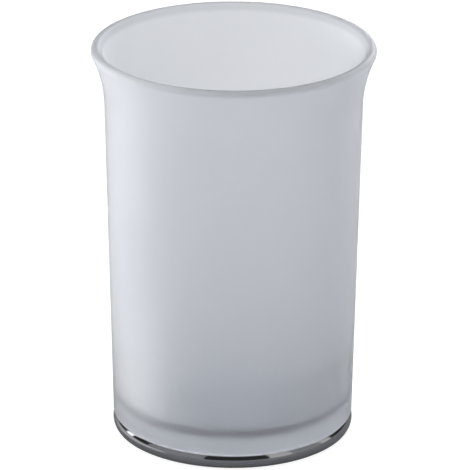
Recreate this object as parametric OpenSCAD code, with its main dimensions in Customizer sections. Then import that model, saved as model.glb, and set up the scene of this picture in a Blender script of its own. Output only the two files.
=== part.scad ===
// Free-standing tumbler holder for a washbasin: a satin glass tumbler with a flared lip, its wall
// thickened towards the bottom, stands in a shallow cup turned from brass and chromed. A soft
// liner seats the glass in the cup, and a grooved rubber pad under it keeps it from sliding.
// Millimetres, +Z up, origin at the centre of the face that stands on the table.

/* [Glass tumbler] */
// Height of the holder, from the table to the top of the lip
overall_h = 110; // [98:1:122]
// Diameter across the flared lip
lip_d = 76.6; // [73:0.2:82]
// Diameter at the shoulder, where the wall begins to flare
shoulder_d = 69.6; // [67.5:0.1:71]
// Diameter at the heel, just above the chromed cup
heel_d = 65.8; // [65.2:0.1:66.6]
// Height of the flared stretch, from the shoulder to the top of the lip
flare_h = 16.5; // [12:0.5:26]
// Thickness of the glass wall
wall = 2.6; // [1.8:0.1:3.4]
// Thickness of the solid glass bottom, from the foot to the inside floor
bottom_t = 3.7; // [3:0.1:8]
// Radius of the bend between the inside wall and the inside floor
well_r = 6.5; // [3:0.5:10]
// Height of the wall's thickened stretch, from the inside floor up
well_h = 18; // [12:1:30]
// Lean of the inside wall on that stretch, in degrees from the vertical
well_lean = 6.5; // [2:0.5:10]
// Rounding of the heel's outer edge
heel_round = 0.5; // [0.2:0.1:0.9]
// Rounding of the foot's outer edge
foot_round = 0.4; // [0.1:0.1:0.6]
// Width of the flat land that the foot stands on
foot_land = 3; // [2:0.5:6]
// Depth of the hollow under the foot
punt_depth = 0.8; // [0.3:0.1:1.5]

/* [Chromed cup] */
// How far the cup's rounded band stands out past the glass heel, at its fullest
band_proud = 0.1; // [0:0.05:0.4]
// Height of the band
cup_h = 3.6; // [3.4:0.1:5]
// How far the band bulges between its top and bottom edges
band_bulge = 0.6; // [0.3:0.05:0.7]
// Rounding of the band's top and bottom edges
band_round = 0.3; // [0.2:0.05:0.5]
// Thickness of the cup's wall, from the bore out to the band's fullest
cup_wall_t = 1.4; // [1.3:0.05:1.8]
// Thickness of the cup's floor
cup_floor_t = 1; // [0.7:0.1:1.2]
// Bevel round the mouth of the bore
bore_bevel = 0.25; // [0.1:0.05:0.4]
// Width of the metal round the pad's recess, out to the band's fullest
recess_rim_w = 3.7; // [3:0.1:8]
// Gap between the glass heel and the top of the band
seam_gap = 0.2; // [0.1:0.05:0.5]

/* [Seat liner] */
// Thickness of the liner under the glass
liner_floor_t = 0.5; // [0.3:0.1:0.7]
// Thickness of the liner's upstand
liner_wall_t = 0.6; // [0.4:0.1:0.8]
// How far the upstand stays below the top of the band
liner_drop = 0.3; // [0.2:0.05:0.5]
// Clearance round the liner in the bore
liner_fit = 0.05; // [0.02:0.01:0.1]
// Clearance round the glass foot in the liner
foot_fit = 0.3; // [0.15:0.05:0.5]

/* [Anti-slip pad] */
// Thickness of the pad
pad_h = 1.3; // [1.1:0.1:1.5]
// How far the pad stands proud of the cup's underside
pad_proud = 0.4; // [0.2:0.1:0.6]
// Clearance round the pad in its recess
pad_fit = 0.3; // [0.1:0.1:0.6]
// Rounding of the pad's lower edge
pad_round = 0.25; // [0.1:0.05:0.4]
// Number of round grooves in the pad's underside
groove_count = 4; // [2:1:6]
// Width of each groove
groove_w = 0.9; // [0.5:0.1:1.2]

/* [Hidden] */
$fn = 180;
arc_steps = 24;
quarter = 90;
half_turn = 180;

// Levels, counted up from the table
cup_z = pad_proud;
recess_top = pad_h;
cup_floor_z = recess_top + cup_floor_t;
foot_z = cup_floor_z + liner_floor_t;
cup_top = cup_z + cup_h;
heel_z = cup_top + seam_gap;
shoulder_z = overall_h - flare_h;
floor_z = foot_z + bottom_t;

// Radii of the cup and the seat, from the glass heel inwards
heel_r = heel_d / 2;
cup_r = heel_r + band_proud;
bore_r = cup_r - cup_wall_t;
liner_r = bore_r - liner_fit;
liner_inner_r = liner_r - liner_wall_t;
foot_r = liner_inner_r - foot_fit;
recess_r = cup_r - recess_rim_w;
pad_r = recess_r - pad_fit;

// The straight wall: its lean from the vertical, and its outward normal
shoulder_r = shoulder_d / 2;
lean = atan((shoulder_r - heel_r) / (shoulder_z - heel_z));
wall_normal = [cos(lean), -sin(lean)];

// The flare: the middle of the wall bends on one arc, from the shoulder to the centre of the
// round lip, and is tangent to the straight wall. Its radius is negative where the lip is drawn
// in instead of flared out.
flare_start = [shoulder_r, shoulder_z] - wall_normal * wall / 2;
lip_centre = [lip_d / 2, overall_h] - [wall, wall] / 2;
flare_chord = lip_centre - flare_start;
flare_r = flare_chord * flare_chord / (2 * flare_chord * wall_normal);
flare_centre = flare_start + wall_normal * flare_r;
lip_spoke = (lip_centre - flare_centre) / flare_r;
lip_angle = (atan2(lip_spoke.y, lip_spoke.x) + 2 * half_turn) % (2 * half_turn);

// The inside: the wall's inner line down to the thickened stretch, that stretch's own line, and
// the centre of the bend into the floor
function inner_wall_r(z) = shoulder_r - wall / cos(lean) - (shoulder_z - z) * tan(lean);
well_top = [inner_wall_r(floor_z + well_h), floor_z + well_h];
function thick_wall_r(z) = well_top.x - (well_top.y - z) * tan(well_lean);
bend_z = floor_z + well_r;
bend_centre = [thick_wall_r(bend_z) - well_r / cos(well_lean), bend_z];

// The hollow under the foot: a shallow spherical cap inside the land
punt_r = foot_r - foot_land;
punt_sphere_r = (punt_r * punt_r + punt_depth * punt_depth) / (2 * punt_depth);
punt_centre = [0, foot_z + punt_depth - punt_sphere_r];

// The band: a barrel arc over its height, with a small round tangent to it at each end
band_r = (pow(cup_h / 2, 2) + pow(band_bulge, 2)) / (2 * band_bulge);
band_mid = cup_z + cup_h / 2;
band_centre = [cup_r - band_r, band_mid];
edge_angle = asin((cup_h / 2 - band_round) / (band_r - band_round));
edge_x = band_centre.x + (band_r - band_round) * cos(edge_angle);

// Points along an arc about a centre, from one angle to another
function arc(centre, radius, from, to, steps = arc_steps) =
    [for (i = [0 : steps])
        let (a = from + (to - from) * i / steps)
        centre + radius * [cos(a), sin(a)]];

// Half section of the tumbler's outside, from the axis under the foot up to the lip
function tumbler_outside() = concat(
    arc(punt_centre, punt_sphere_r, quarter, acos(punt_r / punt_sphere_r)),
    arc([foot_r - foot_round, foot_z + foot_round], foot_round, -quarter, 0),
    [[foot_r, heel_z]],
    arc([heel_r - heel_round, heel_z + heel_round], heel_round, -quarter, -lean),
    arc(flare_centre, flare_r - wall / 2, half_turn - lean, lip_angle)
);

// Half section of its inside, from the lip down to the axis at the floor
function tumbler_inside() = concat(
    arc(flare_centre, flare_r + wall / 2, lip_angle, half_turn - lean),
    [well_top],
    arc(bend_centre, well_r, -well_lean, -quarter),
    [[0, floor_z]]
);

// The glass tumbler, pressed and then satin etched
module tumbler() {
    color("lightgray")
        rotate_extrude()
            polygon(concat(
                tumbler_outside(),
                arc(lip_centre, wall / 2, lip_angle - half_turn, lip_angle),
                tumbler_inside()
            ));
}

// The cup: a barrel-shaped band round a thin floor, hollow above for the glass and below for
// the rubber pad
module chrome_cup() {
    color("silver")
        rotate_extrude()
            polygon(concat(
                [[0, recess_top], [recess_r, recess_top], [recess_r, cup_z]],
                arc([edge_x, cup_z + band_round], band_round, -quarter, -edge_angle),
                arc(band_centre, band_r, -edge_angle, edge_angle),
                arc([edge_x, cup_top - band_round], band_round, edge_angle, quarter),
                [[bore_r + bore_bevel, cup_top], [bore_r, cup_top - bore_bevel]],
                [[bore_r, cup_floor_z], [0, cup_floor_z]]
            ));
}

// The liner: a thin dish under and round the glass foot
module seat_liner() {
    liner_top = cup_top - liner_drop;
    color("whitesmoke")
        rotate_extrude()
            polygon([
                [0, cup_floor_z],
                [liner_r, cup_floor_z],
                [liner_r, liner_top],
                [liner_inner_r, liner_top],
                [liner_inner_r, foot_z],
                [0, foot_z]
            ]);
}

// The rubber pad, with round grooves evenly spaced from its centre to its edge
module anti_slip_pad() {
    pitch = pad_r / (groove_count + 1);
    color("dimgray")
        rotate_extrude()
            difference() {
                polygon(concat(
                    [[0, 0]],
                    arc([pad_r - pad_round, pad_round], pad_round, -quarter, 0),
                    [[pad_r, pad_h], [0, pad_h]]
                ));
                for (i = [1 : groove_count])
                    translate([i * pitch, 0])
                        circle(d = groove_w);
            }
}

tumbler();
chrome_cup();
seat_liner();
anti_slip_pad();
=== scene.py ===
"""A free-standing tumbler holder: a satin glass tumbler in a chromed cup, on a white table.

Metres, +Z up, with the origin on the axis in the plane of the table.
"""

import math
import bpy
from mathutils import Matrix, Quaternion, Vector


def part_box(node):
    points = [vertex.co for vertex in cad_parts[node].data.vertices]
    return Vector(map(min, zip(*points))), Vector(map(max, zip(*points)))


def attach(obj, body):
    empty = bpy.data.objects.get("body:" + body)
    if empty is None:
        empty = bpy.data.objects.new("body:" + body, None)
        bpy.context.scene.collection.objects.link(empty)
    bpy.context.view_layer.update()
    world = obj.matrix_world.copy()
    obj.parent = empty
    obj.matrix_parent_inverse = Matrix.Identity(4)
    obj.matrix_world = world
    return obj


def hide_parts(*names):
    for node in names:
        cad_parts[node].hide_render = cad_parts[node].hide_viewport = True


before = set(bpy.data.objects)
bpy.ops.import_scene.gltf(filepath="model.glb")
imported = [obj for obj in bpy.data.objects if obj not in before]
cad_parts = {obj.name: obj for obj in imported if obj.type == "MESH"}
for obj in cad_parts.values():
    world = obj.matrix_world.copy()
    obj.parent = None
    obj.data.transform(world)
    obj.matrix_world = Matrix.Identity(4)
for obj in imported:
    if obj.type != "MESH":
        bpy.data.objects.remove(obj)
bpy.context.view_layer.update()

# Anti-slip pad: a black rubber disc, moulded with round grooves in its underside and glued into
# the recess under the cup. Its faces carry the fine matt grain of the mould.
MM = 0.001
GRAIN_DETAIL = 2
PATCH_DETAIL = 4
RUBBER_BLACK = (0.022, 0.022, 0.024)
RUBBER_DUSTY = (0.05, 0.05, 0.05)


def new_material(name):
    """A material with an empty Principled surface, and its nodes and links."""
    material = bpy.data.materials.new(name)
    material.use_nodes = True
    nodes, links = material.node_tree.nodes, material.node_tree.links
    return material, nodes, links, nodes["Principled BSDF"]


def speckle_group():
    """Two sizes of noise on the piece's own coordinates: fine grain, and soft patches."""
    group = bpy.data.node_groups.new("speckle", "ShaderNodeTree")
    for name in ("Grain Size", "Patch Size"):
        group.interface.new_socket(name, in_out="INPUT", socket_type="NodeSocketFloat")
    for name in ("Grain", "Patches"):
        group.interface.new_socket(name, in_out="OUTPUT", socket_type="NodeSocketFloat")
    nodes, links = group.nodes, group.links
    given, out = nodes.new("NodeGroupInput"), nodes.new("NodeGroupOutput")
    place = nodes.new("ShaderNodeTexCoord")
    for size, result, detail in (
        ("Grain Size", "Grain", GRAIN_DETAIL),
        ("Patch Size", "Patches", PATCH_DETAIL),
    ):
        scale = nodes.new("ShaderNodeMath")
        scale.operation = "DIVIDE"
        scale.inputs[0].default_value = 1
        noise = nodes.new("ShaderNodeTexNoise")
        noise.inputs["Detail"].default_value = detail
        links.new(given.outputs[size], scale.inputs[1])
        links.new(scale.outputs[0], noise.inputs["Scale"])
        links.new(place.outputs["Object"], noise.inputs["Vector"])
        links.new(noise.outputs["Fac"], out.inputs[result])
    return group


speckle = speckle_group()


def blended(nodes, links, fac, first, second):
    """A colour between first and second, each a plain colour or another node's, by fac."""
    node = nodes.new("ShaderNodeMix")
    node.data_type = "RGBA"
    links.new(fac, node.inputs["Factor"])
    for colour, end in ((first, node.inputs["A"]), (second, node.inputs["B"])):
        if isinstance(colour, tuple):
            end.default_value = (*colour, 1)
        else:
            links.new(colour, end)
    return node.outputs["Result"]


def grained(nodes, links, surface, grain_size, patch_size, grain_depth, roughness):
    """Raises a fine grain on a surface and spreads its roughness in patches; gives their mask."""
    spots = nodes.new("ShaderNodeGroup")
    spots.node_tree = speckle
    spots.inputs["Grain Size"].default_value = grain_size
    spots.inputs["Patch Size"].default_value = patch_size
    spread = nodes.new("ShaderNodeMapRange")
    spread.inputs["To Min"].default_value, spread.inputs["To Max"].default_value = roughness
    links.new(spots.outputs["Patches"], spread.inputs["Value"])
    links.new(spread.outputs["Result"], surface.inputs["Roughness"])
    bump = nodes.new("ShaderNodeBump")
    bump.inputs["Distance"].default_value = grain_depth
    links.new(spots.outputs["Grain"], bump.inputs["Height"])
    links.new(bump.outputs["Normal"], surface.inputs["Normal"])
    return spots.outputs["Patches"]


def rubber():
    """Black rubber, dustier in patches."""
    material, nodes, links, surface = new_material("black_rubber")
    patches = grained(
        nodes, links, surface,
        grain_size=0.15 * MM, patch_size=9 * MM, grain_depth=0.02 * MM, roughness=(0.55, 0.8),
    )
    tone = blended(nodes, links, patches, RUBBER_BLACK, RUBBER_DUSTY)
    links.new(tone, surface.inputs["Base Color"])
    return material


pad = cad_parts["anti_slip_pad"]
pad.data.materials.clear()
pad.data.materials.append(rubber())

# Chromed cup: turned from brass bar, polished and chromed all over. Its band bulges like a
# barrel between two small rounded edges, and its bore takes the liner and the glass foot.
QUARTER = math.pi / 2
CUP_WALL = 1.4 * MM
CUP_FLOOR = 1.0 * MM
BAND_BULGE = 0.6 * MM
BAND_ROUND = 0.3 * MM
BORE_BEVEL = 0.25 * MM
RECESS_RIM = 3.7 * MM
EDGE_STEPS = 6
BARREL_STEPS = 24
TURN_STEPS = 240
MERGE_UNDER = 0.0005 * MM
SMOOTH_UNDER = math.radians(30)
CHROME_GREY = (0.60, 0.605, 0.62)
CHROME_PALE = (0.66, 0.66, 0.67)
cup_low, cup_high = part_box("chrome_cup")
pad_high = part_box("anti_slip_pad")[1]


def arc(centre, radius, start, end, steps):
    """Points (radius, height) on a round stretch of an outline, from one angle to another."""
    return [
        (
            centre[0] + radius * math.cos(start + (end - start) * i / steps),
            centre[1] + radius * math.sin(start + (end - start) * i / steps),
        )
        for i in range(steps + 1)
    ]


def turned(name, outline):
    """A piece turned about Z from its half section, which starts and ends on the axis."""
    bpy.ops.object.select_all(action="DESELECT")
    bpy.ops.mesh.primitive_plane_add(size=1, location=(outline[0][0], 0, outline[0][1]))
    piece = bpy.context.object
    piece.name = piece.data.name = name
    bpy.ops.object.mode_set(mode="EDIT")
    bpy.ops.mesh.select_all(action="SELECT")
    bpy.ops.mesh.merge(type="CENTER")
    for (r0, z0), (r1, z1) in zip(outline, outline[1:]):
        bpy.ops.mesh.extrude_region_move(TRANSFORM_OT_translate={"value": (r1 - r0, 0, z1 - z0)})
    bpy.ops.mesh.select_all(action="SELECT")
    bpy.ops.mesh.spin(steps=TURN_STEPS, angle=2 * math.pi, center=(0, 0, 0), axis=(0, 0, 1))
    bpy.ops.mesh.select_all(action="SELECT")
    bpy.ops.mesh.remove_doubles(threshold=MERGE_UNDER)
    bpy.ops.mesh.normals_make_consistent(inside=False)
    bpy.ops.object.mode_set(mode="OBJECT")
    bpy.ops.object.transform_apply(location=True, rotation=True, scale=True)
    bpy.ops.object.shade_smooth_by_angle(angle=SMOOTH_UNDER)
    return piece


def cup_outline():
    """Half section of the cup, from the top of the recess round the band to the floor."""
    fullest = cup_high.x
    bore = fullest - CUP_WALL
    recess = fullest - RECESS_RIM
    half_height = (cup_high.z - cup_low.z) / 2
    barrel = (half_height**2 + BAND_BULGE**2) / (2 * BAND_BULGE)
    middle = (fullest - barrel, cup_low.z + half_height)
    tip = math.asin((half_height - BAND_ROUND) / (barrel - BAND_ROUND))
    edge = middle[0] + (barrel - BAND_ROUND) * math.cos(tip)
    floor = pad_high.z + CUP_FLOOR
    return [
        (0, pad_high.z),
        (recess, pad_high.z),
        (recess, cup_low.z),
        *arc((edge, cup_low.z + BAND_ROUND), BAND_ROUND, -QUARTER, -tip, EDGE_STEPS),
        *arc(middle, barrel, -tip, tip, BARREL_STEPS)[1:-1],
        *arc((edge, cup_high.z - BAND_ROUND), BAND_ROUND, tip, QUARTER, EDGE_STEPS),
        (bore + BORE_BEVEL, cup_high.z),
        (bore, cup_high.z - BORE_BEVEL),
        (bore, floor),
        (0, floor),
    ]


def chrome():
    """Polished chrome, its polish and tone a little uneven in patches."""
    material, nodes, links, surface = new_material("polished_chrome")
    surface.inputs["Metallic"].default_value = 1
    patches = grained(
        nodes, links, surface,
        grain_size=0.4 * MM, patch_size=7 * MM, grain_depth=0.002 * MM, roughness=(0.05, 0.1),
    )
    tone = blended(nodes, links, patches, CHROME_GREY, CHROME_PALE)
    links.new(tone, surface.inputs["Base Color"])
    return material


cup = turned("chromed_cup", cup_outline())
cup.data.materials.append(chrome())
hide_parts("chrome_cup")
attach(cup, "base")

# Seat liner: a thin dish of translucent silicone, pressed into the bore of the cup. It keeps the
# glass off the metal and centres its foot. It is pale in the middle, and greyer near its rim in
# painted shade, which darkens the foot of the glass seen above it.
PAINTED_SHADE_START = 14 * MM
PAINTED_SHADE_BLEND = 12 * MM
SILICONE_PALE = (0.84, 0.84, 0.83)
SILICONE_PAINTED_SHADE = (0.52, 0.52, 0.51)
SILICONE_LIGHT_PAINTED_SHADE = (0.60, 0.60, 0.59)
SILICONE_SCATTER = 0.4
SILICONE_DEPTH = 1 * MM


def station_group():
    """Where a point is on a turned piece: its distance from the axis, and its height."""
    group = bpy.data.node_groups.new("station", "ShaderNodeTree")
    for name in ("Radius", "Height"):
        group.interface.new_socket(name, in_out="OUTPUT", socket_type="NodeSocketFloat")
    nodes, links = group.nodes, group.links
    place, out = nodes.new("ShaderNodeTexCoord"), nodes.new("NodeGroupOutput")
    flat, reach = nodes.new("ShaderNodeVectorMath"), nodes.new("ShaderNodeVectorMath")
    flat.operation, reach.operation = "MULTIPLY", "LENGTH"
    flat.inputs[1].default_value = (1, 1, 0)
    axes = nodes.new("ShaderNodeSeparateXYZ")
    links.new(place.outputs["Object"], flat.inputs[0])
    links.new(place.outputs["Object"], axes.inputs[0])
    links.new(flat.outputs["Vector"], reach.inputs[0])
    links.new(reach.outputs["Value"], out.inputs["Radius"])
    links.new(axes.outputs["Z"], out.inputs["Height"])
    return group


station = station_group()


def add_station(nodes):
    """A station node, for the piece that the material is on."""
    node = nodes.new("ShaderNodeGroup")
    node.node_tree = station
    return node


def stepped(nodes, links, source, zero, one):
    """A mask that goes from 0 to 1 as source goes from zero to one, and is even beyond them."""
    node = nodes.new("ShaderNodeMapRange")
    node.inputs["From Min"].default_value = zero
    node.inputs["From Max"].default_value = one
    links.new(source, node.inputs["Value"])
    return node.outputs["Result"]


def silicone():
    """Milky silicone, greyer towards the rim in painted shade."""
    material, nodes, links, surface = new_material("translucent_silicone")
    where = add_station(nodes)
    surface.inputs["Subsurface Weight"].default_value = SILICONE_SCATTER
    surface.inputs["Subsurface Radius"].default_value = (SILICONE_DEPTH,) * 3
    patches = grained(
        nodes, links, surface,
        grain_size=0.2 * MM, patch_size=8 * MM, grain_depth=0.01 * MM, roughness=(0.35, 0.5),
    )
    grey = blended(nodes, links, patches, SILICONE_PAINTED_SHADE, SILICONE_LIGHT_PAINTED_SHADE)
    # Painted shade: the grey takes over from the pale middle out towards the rim.
    edge = stepped(nodes, links, where.outputs["Radius"], PAINTED_SHADE_START, PAINTED_SHADE_START + PAINTED_SHADE_BLEND)
    tone = blended(nodes, links, edge, SILICONE_PALE, grey)
    links.new(tone, surface.inputs["Base Color"])
    return material


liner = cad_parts["seat_liner"]
liner.data.materials.clear()
liner.data.materials.append(silicone())

# Tumbler: pressed from clear glass, its wall thickened towards the bottom and its lip flared and
# fire polished, then etched matt in acid inside and out. It stands loose in the liner.
GLASS_WALL = 2.6 * MM
GLASS_BOTTOM = 3.7 * MM
WELL_ROUND = 6.5 * MM
WELL_HEIGHT = 18 * MM
WELL_LEAN = math.radians(6.5)
HEEL_ROUND = 0.5 * MM
FOOT_ROUND = 0.4 * MM
FOOT_LAND = 3 * MM
PUNT_DEPTH = 0.8 * MM
SEAM_GAP = 0.2 * MM
FOOT_FIT = 0.3 * MM
LINER_WALL = 0.6 * MM
HEEL_RADIUS = 32.9 * MM
SHOULDER_RADIUS = 34.8 * MM
FLARE_HEIGHT = 16.5 * MM
PUNT_STEPS = 12
FOOT_STEPS = 5
HEEL_STEPS = 6
OUTSIDE_STEPS = 12
FLARE_STEPS = 18
LIP_STEPS = 16
INSIDE_STEPS = 40
WELL_STEPS = 8
BEND_STEPS = 24
FLOOR_STEPS = 6
GLASS_IOR = 1.5
GLASS_GREY = (0.815, 0.826, 0.85)
GLASS_PALE = (0.835, 0.846, 0.87)
PAINTED_LIP_BAND = 1.4 * MM
PAINTED_LIP_BLEND = 1 * MM
LIP_OUTSIDE_PAINTED_LIGHT = (0.90, 0.91, 0.93)
LIP_INSIDE_PAINTED_SHADE = (0.62, 0.635, 0.66)
glass_low, glass_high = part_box("tumbler")
liner_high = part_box("seat_liner")[1]


def straight(first, last, steps):
    """Points on a straight stretch of an outline, without its two ends."""
    return [
        (
            first[0] + (last[0] - first[0]) * i / steps,
            first[1] + (last[1] - first[1]) * i / steps,
        )
        for i in range(1, steps)
    ]


def tumbler_outline():
    """Half section of the tumbler, from the hollow under its foot up to the lip and back inside.

    The middle of the wall bends on one arc from the shoulder to the centre of the round lip.
    """
    foot_z, top = glass_low.z, glass_high.z
    heel_z = cup_high.z + SEAM_GAP
    shoulder_z = top - FLARE_HEIGHT
    lean = math.atan((SHOULDER_RADIUS - HEEL_RADIUS) / (shoulder_z - heel_z))
    out = (math.cos(lean), -math.sin(lean))
    half_wall = GLASS_WALL / 2
    start = (SHOULDER_RADIUS - out[0] * half_wall, shoulder_z - out[1] * half_wall)
    tip = (glass_high.x - half_wall, top - half_wall)
    chord = (tip[0] - start[0], tip[1] - start[1])
    flare = (chord[0] ** 2 + chord[1] ** 2) / (2 * (chord[0] * out[0] + chord[1] * out[1]))
    centre = (start[0] + out[0] * flare, start[1] + out[1] * flare)
    lip_angle = math.atan2(tip[1] - centre[1], tip[0] - centre[0])
    wall_foot = (HEEL_RADIUS, heel_z + HEEL_ROUND)
    wall_top = (centre[0] - (flare - half_wall) * out[0], centre[1] - (flare - half_wall) * out[1])
    inner_top = (centre[0] - (flare + half_wall) * out[0], centre[1] - (flare + half_wall) * out[1])

    floor = foot_z + GLASS_BOTTOM
    well_z = floor + WELL_HEIGHT
    inner = SHOULDER_RADIUS - GLASS_WALL / math.cos(lean) - (shoulder_z - well_z) * math.tan(lean)
    well_top = (inner, well_z)
    bend_z = floor + WELL_ROUND
    bend_x = inner - (well_z - bend_z) * math.tan(WELL_LEAN) - WELL_ROUND / math.cos(WELL_LEAN)
    bend = arc((bend_x, bend_z), WELL_ROUND, -WELL_LEAN, -QUARTER, BEND_STEPS)

    foot = liner_high.x - LINER_WALL - FOOT_FIT
    foot_edge = (foot - FOOT_ROUND, foot_z + FOOT_ROUND)
    heel_edge = (HEEL_RADIUS - HEEL_ROUND, heel_z + HEEL_ROUND)
    punt = foot - FOOT_LAND
    punt_sphere = (punt**2 + PUNT_DEPTH**2) / (2 * PUNT_DEPTH)
    punt_centre = (0, foot_z + PUNT_DEPTH - punt_sphere)
    return [
        *arc(punt_centre, punt_sphere, QUARTER, math.acos(punt / punt_sphere), PUNT_STEPS),
        *arc(foot_edge, FOOT_ROUND, -QUARTER, 0, FOOT_STEPS),
        (foot, heel_z),
        *arc(heel_edge, HEEL_ROUND, -QUARTER, -lean, HEEL_STEPS),
        *straight(wall_foot, wall_top, OUTSIDE_STEPS),
        *arc(centre, flare - half_wall, math.pi - lean, lip_angle, FLARE_STEPS),
        *arc(tip, half_wall, lip_angle - math.pi, lip_angle, LIP_STEPS)[1:-1],
        *arc(centre, flare + half_wall, lip_angle, math.pi - lean, FLARE_STEPS),
        *straight(inner_top, well_top, INSIDE_STEPS),
        well_top,
        *straight(well_top, bend[0], WELL_STEPS),
        *bend,
        *straight(bend[-1], (0, floor), FLOOR_STEPS),
        (0, floor),
    ]


def satin_glass():
    """Etched glass, with painted light on the outside of the lip and painted shade on its inside.
    """
    material, nodes, links, surface = new_material("satin_glass")
    where = add_station(nodes)
    surface.inputs["IOR"].default_value = GLASS_IOR
    surface.inputs["Transmission Weight"].default_value = 1
    patches = grained(
        nodes, links, surface,
        grain_size=0.25 * MM, patch_size=10 * MM, grain_depth=0.01 * MM, roughness=(0.47, 0.53),
    )
    body = blended(nodes, links, patches, GLASS_GREY, GLASS_PALE)
    # Painted light and shade on the lip: paler on its outside, greyer on its inside.
    painted_lip_start = glass_high.z - PAINTED_LIP_BAND
    crest = glass_high.x - GLASS_WALL / 2
    lip = stepped(nodes, links, where.outputs["Height"], painted_lip_start - PAINTED_LIP_BLEND, painted_lip_start)
    inside = stepped(nodes, links, where.outputs["Radius"], crest + PAINTED_LIP_BLEND / 2, crest)
    rim = blended(nodes, links, inside, LIP_OUTSIDE_PAINTED_LIGHT, LIP_INSIDE_PAINTED_SHADE)
    links.new(blended(nodes, links, lip, body, rim), surface.inputs["Base Color"])
    return material


tumbler = turned("satin_tumbler", tumbler_outline())
tumbler.data.materials.append(satin_glass())
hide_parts("tumbler")
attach(tumbler, "glass")

# Studio: a table in soft, slightly blue light from a wide softbox overhead, a long low one on the
# left and a small one behind on the right. White cards lie on the table for the glass to draw
# light from, and black and white ones stand round it for the chrome to mirror.
TABLE_SIZE = 6.0
TABLE_COLOUR = (0.2, 0.2, 0.206, 1)
TABLE_ROUGHNESS = 0.8
TABLE_WHITE = 0.88
TABLE_THROUGH_GLASS = 0.5
ROOM_BLUE = (0.93, 0.96, 1.0, 1)
ROOM_GLOW = 0.8
ROOM_IN_MIRRORS = 0.28
ROOM_THROUGH_GLASS = 1.18
WHITE = (1, 1, 1, 1)
LAMP_BLUE = (0.95, 0.97, 1.0)
LAMP_DISTANCE = 1.0
CARD_DISTANCE = 1.7
CARD_HEIGHT = 1.5
CARD_THICKNESS = 1 * MM


def table_material():
    """Grey as the light and the mirrors meet it, brighter through glass, white to the camera."""
    material, nodes, links, surface = new_material("white_table")
    surface.inputs["Base Color"].default_value = TABLE_COLOUR
    surface.inputs["Roughness"].default_value = TABLE_ROUGHNESS
    surface.inputs["Specular IOR Level"].default_value = 0
    seen = nodes.new("ShaderNodeLightPath")
    by_camera = nodes.new("ShaderNodeMath")
    by_camera.operation = "MULTIPLY"
    by_camera.inputs[1].default_value = TABLE_WHITE
    by_glass = nodes.new("ShaderNodeMath")
    by_glass.operation = "MULTIPLY_ADD"
    by_glass.inputs[1].default_value = TABLE_THROUGH_GLASS
    links.new(seen.outputs["Is Camera Ray"], by_camera.inputs[0])
    links.new(seen.outputs["Is Transmission Ray"], by_glass.inputs[0])
    links.new(by_camera.outputs[0], by_glass.inputs[2])
    surface.inputs["Emission Color"].default_value = WHITE
    links.new(by_glass.outputs[0], surface.inputs["Emission Strength"])
    return material


bpy.ops.object.select_all(action="DESELECT")
bpy.ops.mesh.primitive_plane_add(size=TABLE_SIZE, location=(0, 0, 0))
table = bpy.context.object
table.name = "table"
table.data.materials.append(table_material())


def studio_world():
    """A room that is one strength as light, dimmer in mirrors, brighter through glass, and white
    to the camera."""
    world = bpy.data.worlds.new("studio")
    world.use_nodes = True
    nodes, links = world.node_tree.nodes, world.node_tree.links
    room = nodes["Background"]
    room.inputs["Color"].default_value = ROOM_BLUE
    room.inputs["Strength"].default_value = ROOM_GLOW
    seen = nodes.new("ShaderNodeLightPath")
    before = room
    for ray, colour, strength in (
        ("Is Glossy Ray", ROOM_BLUE, ROOM_IN_MIRRORS),
        ("Is Transmission Ray", ROOM_BLUE, ROOM_THROUGH_GLASS),
        ("Is Camera Ray", WHITE, 1),
    ):
        glow = nodes.new("ShaderNodeBackground")
        glow.inputs["Color"].default_value = colour
        glow.inputs["Strength"].default_value = strength
        mix = nodes.new("ShaderNodeMixShader")
        links.new(seen.outputs[ray], mix.inputs["Fac"])
        links.new(before.outputs[0], mix.inputs[1])
        links.new(glow.outputs["Background"], mix.inputs[2])
        before = mix
    links.new(before.outputs[0], nodes["World Output"].inputs["Surface"])
    return world


bpy.context.scene.world = studio_world()


def round_the_table(azimuth, elevation, distance):
    """A point round the table, in degrees: azimuth 0 is the camera's side, 90 is the right."""
    a, e = math.radians(azimuth), math.radians(elevation)
    return Vector(
        (
            distance * math.sin(a) * math.cos(e),
            -distance * math.cos(a) * math.cos(e),
            distance * math.sin(e),
        )
    )


def softbox(name, azimuth, elevation, size, radiance):
    """A rectangular lamp aimed at the middle of the tumbler, with the radiance of its face."""
    lamp = bpy.data.lights.new(name, "AREA")
    lamp.shape = "RECTANGLE"
    lamp.size, lamp.size_y = size
    lamp.energy = radiance * math.pi * size[0] * size[1]
    lamp.color = LAMP_BLUE
    box = bpy.data.objects.new(name, lamp)
    bpy.context.scene.collection.objects.link(box)
    aim = Vector((0, 0, glass_high.z / 2))
    box.location = aim + round_the_table(azimuth, elevation, LAMP_DISTANCE)
    box.rotation_euler = (aim - box.location).to_track_quat("-Z", "Y").to_euler()
    return box


softbox("top_softbox", azimuth=0, elevation=89.9, size=(1.2, 1.2), radiance=1.1)
left_softbox = softbox("left_softbox", azimuth=-105, elevation=6, size=(1.2, 0.21), radiance=9.5)
left_softbox.visible_glossy = False
softbox("right_softbox", azimuth=152, elevation=20, size=(0.3, 0.3), radiance=8.0)


def card(name, size, grey):
    """A flat card that glows by its greyness, casts no shadow and is unseen by the camera."""
    bpy.ops.object.select_all(action="DESELECT")
    bpy.ops.mesh.primitive_plane_add(size=1)
    panel = bpy.context.object
    panel.name = name
    panel.scale = (*size, 1)
    paint = bpy.data.materials.new(name)
    paint.use_nodes = True
    nodes = paint.node_tree.nodes
    nodes.remove(nodes["Principled BSDF"])
    glow = nodes.new("ShaderNodeEmission")
    glow.inputs["Color"].default_value = (grey, grey, grey, 1)
    paint.node_tree.links.new(glow.outputs["Emission"], nodes["Material Output"].inputs["Surface"])
    panel.data.materials.append(paint)
    panel.visible_camera = panel.visible_shadow = False
    return panel


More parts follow.
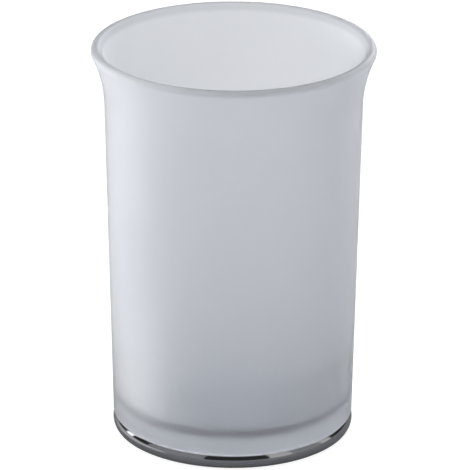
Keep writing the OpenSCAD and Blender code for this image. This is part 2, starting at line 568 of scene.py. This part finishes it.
def standing_card(name, azimuth, width, grey):
    """A card upright round the table, width in degrees, that only mirrors see."""
    span = 2 * CARD_DISTANCE * math.tan(math.radians(width / 2))
    panel = card(name, (span, CARD_HEIGHT), grey)
    panel.location = round_the_table(azimuth, 0, CARD_DISTANCE) + Vector((0, 0, CARD_HEIGHT / 2))
    panel.rotation_euler = (math.pi / 2, 0, math.radians(azimuth))
    panel.visible_diffuse = panel.visible_transmission = False


def lying_card(name, azimuth, distance, size, grey):
    """A card flat on the table, its middle at that distance from the axis, unseen by mirrors."""
    panel = card(name, size, grey)
    panel.location = round_the_table(azimuth, 0, distance) + Vector((0, 0, CARD_THICKNESS))
    panel.rotation_euler = (0, 0, math.radians(azimuth))
    panel.visible_glossy = False


standing_card("black_card_front", azimuth=4, width=60, grey=0.03)
standing_card("white_card_front", azimuth=46, width=22, grey=0.5)
standing_card("white_card_right", azimuth=97, width=13, grey=0.55)
standing_card("black_card_right", azimuth=133, width=58, grey=0.03)
standing_card("black_card_left", azimuth=-95, width=21, grey=0.03)
standing_card("white_card_left", azimuth=-111, width=10, grey=1.6)
standing_card("black_card_back", azimuth=-148, width=63, grey=0.05)
lying_card("far_left_card", azimuth=-116, distance=0.32, size=(0.24, 0.4), grey=1.9)
lying_card("near_left_card", azimuth=-133, distance=0.12, size=(0.06, 0.12), grey=1.2)
lying_card("front_left_card", azimuth=-72, distance=0.06, size=(0.045, 0.045), grey=2.5)
lying_card("far_right_card", azimuth=140, distance=0.4, size=(0.3, 0.45), grey=1.0)
lying_card("near_right_card", azimuth=145, distance=0.12, size=(0.08, 0.12), grey=0.85)

# Camera: at the photograph's viewing angle, a little above the lip and far enough away for a long
# lens. Its place, roll and focal length were fitted to the rim and the foot in the photograph.
CAMERA_DISTANCE = 1.0987
CAMERA_ELEVATION = 21.53
CAMERA_ROLL = math.radians(0.217)
FRAME_PIXELS = 470
FOCAL_PIXELS = 4031
SENSOR_WIDTH = 36
NEAREST, FARTHEST = 0.01, 20
AIM = Vector((0.00049, 0, 0.05531))
lens = bpy.data.cameras.new("camera")
lens.sensor_width = SENSOR_WIDTH
lens.lens = FOCAL_PIXELS / FRAME_PIXELS * SENSOR_WIDTH
lens.clip_start, lens.clip_end = NEAREST, FARTHEST
camera = bpy.data.objects.new("camera", lens)
bpy.context.scene.collection.objects.link(camera)
camera.location = round_the_table(0, CAMERA_ELEVATION, CAMERA_DISTANCE)
camera.location.z += glass_high.z / 2
aimed = (AIM - camera.location).to_track_quat("-Z", "Y")
camera.rotation_euler = (aimed @ Quaternion((0, 0, 1), CAMERA_ROLL)).to_euler()
bpy.context.scene.camera = camera
bpy.context.scene.view_settings.view_transform = "Standard"
